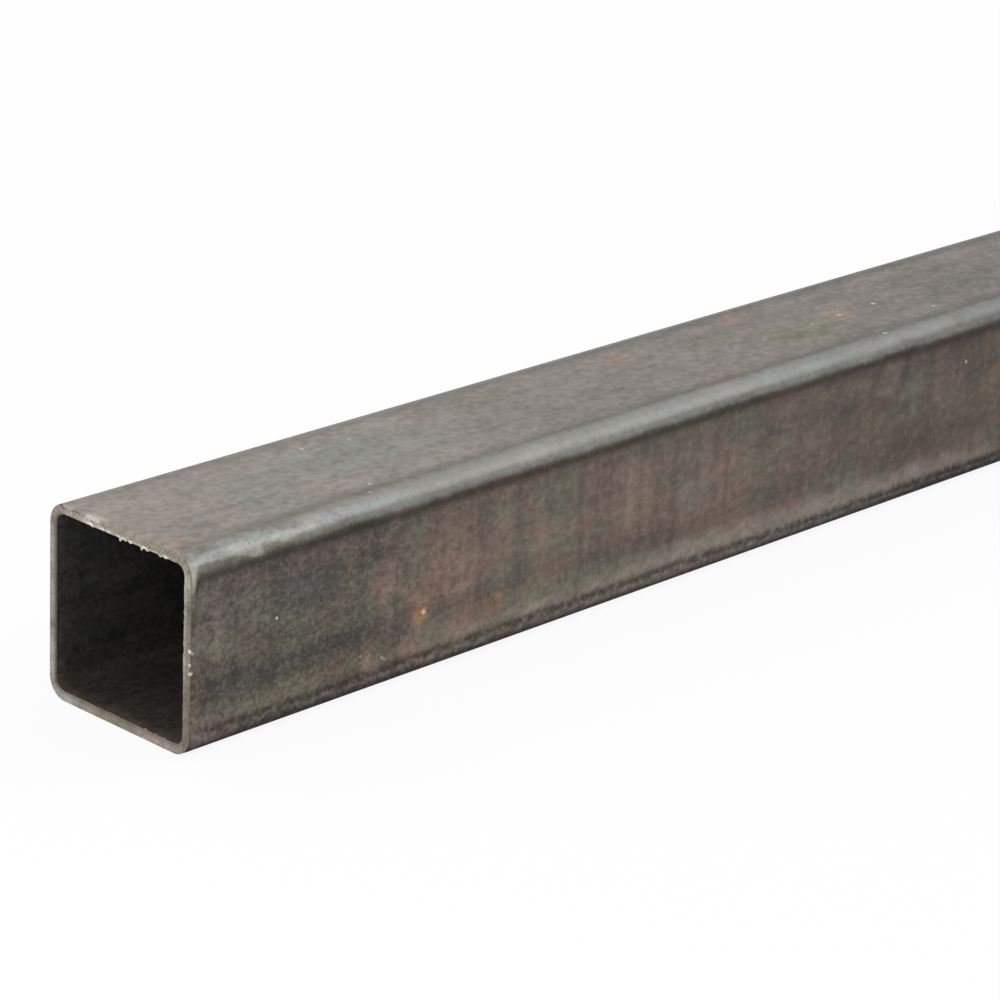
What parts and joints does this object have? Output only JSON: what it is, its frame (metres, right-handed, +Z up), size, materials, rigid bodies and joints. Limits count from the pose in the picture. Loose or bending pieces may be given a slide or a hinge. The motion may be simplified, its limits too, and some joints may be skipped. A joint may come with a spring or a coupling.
{
  "type": "square steel tube",
  "caption": "Plain square hollow section in bare mild steel, with rounded corners, a thin wall and square sawn open ends.",
  "frame": {"origin": "on the underside of the tube, at the middle of its length and of its width", "axes": "+X along the tube, +Z up, +Y across; the sawn end that shows is at -X"},
  "size_m": [1, 0.04, 0.04],
  "materials": {
    "steel": "bare cold-formed mild steel with a dull grey-brown oxide skin, rubbed brighter along the rolled corners, light rust specks, bright sawn ends"
  },
  "bodies": {
    "root": {"square_tube": "steel"}
  },
  "joints": []
}
